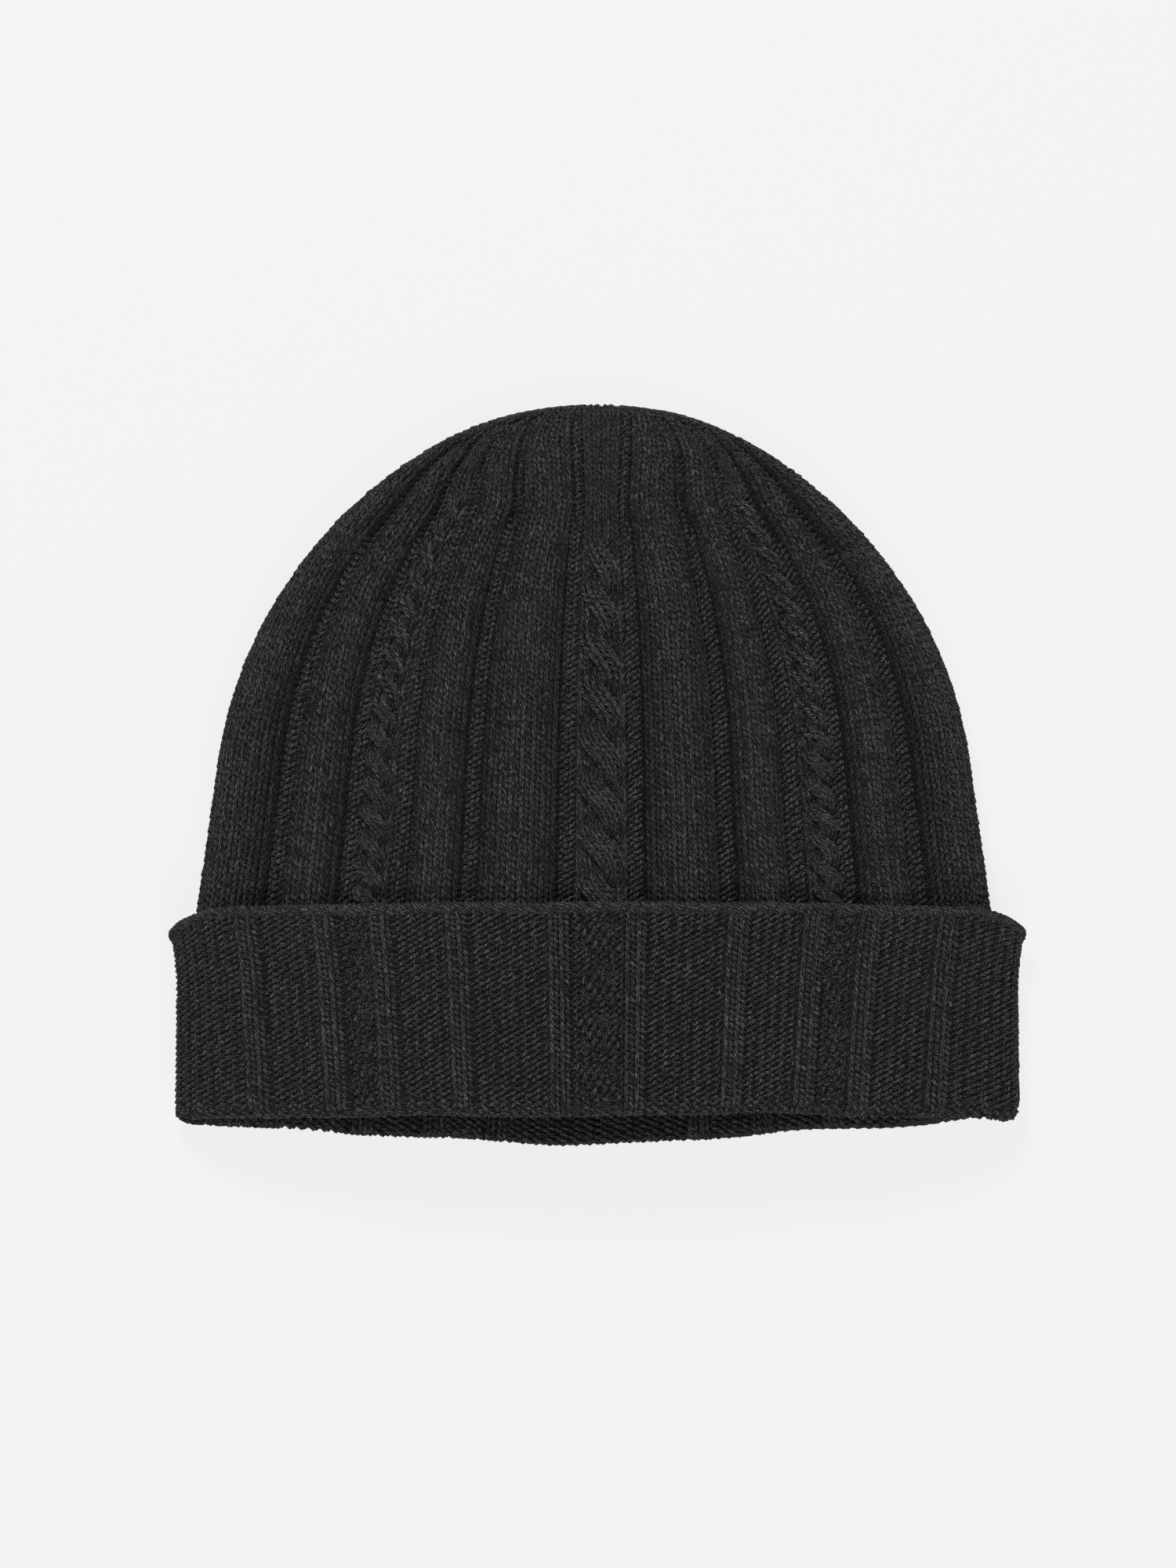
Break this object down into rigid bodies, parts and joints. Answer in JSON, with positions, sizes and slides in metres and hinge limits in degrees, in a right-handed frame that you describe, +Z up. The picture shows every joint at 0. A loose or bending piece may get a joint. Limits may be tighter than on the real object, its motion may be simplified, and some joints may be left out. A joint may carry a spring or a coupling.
{
  "type": "knit beanie",
  "caption": "Cable-knit winter beanie with a turned-up cuff, in charcoal marl yarn, lying flat on its back.",
  "frame": {"origin": "middle of the hat's footprint, on the table it lies on", "axes": "+X across the hat, +Y from the mouth to the crown, +Z up out of the front"},
  "size_m": [0.239, 0.207, 0.0395],
  "materials": {
    "main_yarn": "soft fuzzy marl yarn, matte",
    "seam_yarn": "the same yarn, sewn flat, matte",
    "draw_yarn": "the same yarn, pulled tight, matte"
  },
  "bodies": {
    "root": {"body_panel": "main_yarn", "centre_cable": "main_yarn", "cable_left": "main_yarn", "cable_right": "main_yarn", "turned_cuff": "main_yarn", "cast_on_edge": "main_yarn", "back_seam": "seam_yarn", "crown_draw_yarn": "draw_yarn", "draw_yarn_knot": "draw_yarn"}
  },
  "joints": []
}
